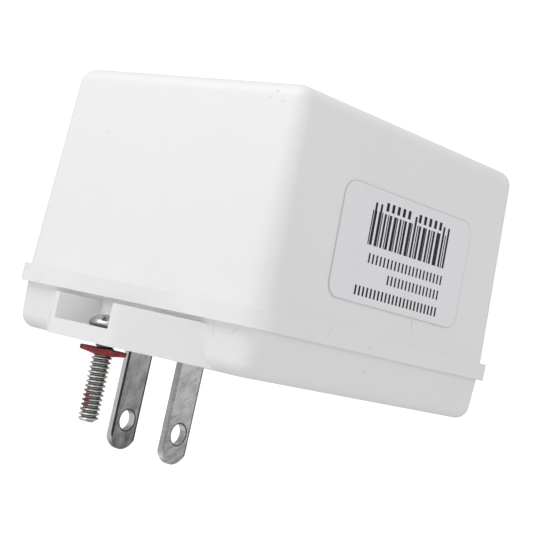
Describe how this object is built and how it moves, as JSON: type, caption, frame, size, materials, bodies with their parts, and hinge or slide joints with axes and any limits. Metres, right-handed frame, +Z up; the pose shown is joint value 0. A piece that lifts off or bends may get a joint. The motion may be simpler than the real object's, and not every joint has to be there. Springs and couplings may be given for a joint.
{
  "type": "plug-in transformer",
  "caption": "Plug-in mains transformer: pale moulded case with a rim band, flat blades, a screw tab for the outlet plate and recessed screw terminals.",
  "frame": {"origin": "on the outlet face, midway between the two blades", "axes": "+Y out of the outlet face along the blades, into the wall; +Z up, towards the mounting tab; X across the blades"},
  "size_m": [0.0596, 0.0665, 0.0821],
  "materials": {
    "case_plastic": "fine satin",
    "blade_nickel": "nickel plated, brushed and slightly stained",
    "zinc_steel": "bright zinc plate",
    "red_fibre": "smooth vulcanised fibre",
    "label_paper": "semi-gloss label stock",
    "core_steel": "varnished laminations",
    "bobbin_nylon": "natural nylon",
    "enamelled_copper": "enamelled wire",
    "yellow_tape": "polyester tape",
    "cutout_can": "drawn can",
    "black_lead": "insulated lead",
    "orange_lead": "insulated lead",
    "tinned_brass": "tinned",
    "fish_paper": "fish paper"
  },
  "bodies": {
    "case": {"cover": "case_plastic", "base": "case_plastic", "left_blade": "blade_nickel", "right_blade": "blade_nickel", "label": "label_paper", "e_laminations": "core_steel", "i_laminations": "core_steel", "bobbin": "bobbin_nylon", "primary_winding": "enamelled_copper", "secondary_winding": "enamelled_copper", "primary_tape": "yellow_tape", "secondary_tape": "yellow_tape", "thermal_cutout": "cutout_can", "left_primary_lead": "black_lead", "right_primary_lead": "black_lead", "left_secondary_lead": "orange_lead", "right_secondary_lead": "orange_lead", "left_terminal_plate": "tinned_brass", "right_terminal_plate": "tinned_brass", "left_terminal_washer": "zinc_steel", "right_terminal_washer": "zinc_steel", "left_terminal_screw": "zinc_steel", "right_terminal_screw": "zinc_steel", "insulating_sheet": "fish_paper"},
    "screw": {"mounting_screw": "zinc_steel", "fibre_washer": "red_fibre"}
  },
  "joints": [
    {"name": "screw_turn", "type": "hinge", "parent": "case", "child": "screw", "pos_m": [0, 0, 0.01515], "axis": [0, 1, 0], "continuous": true}
  ]
}
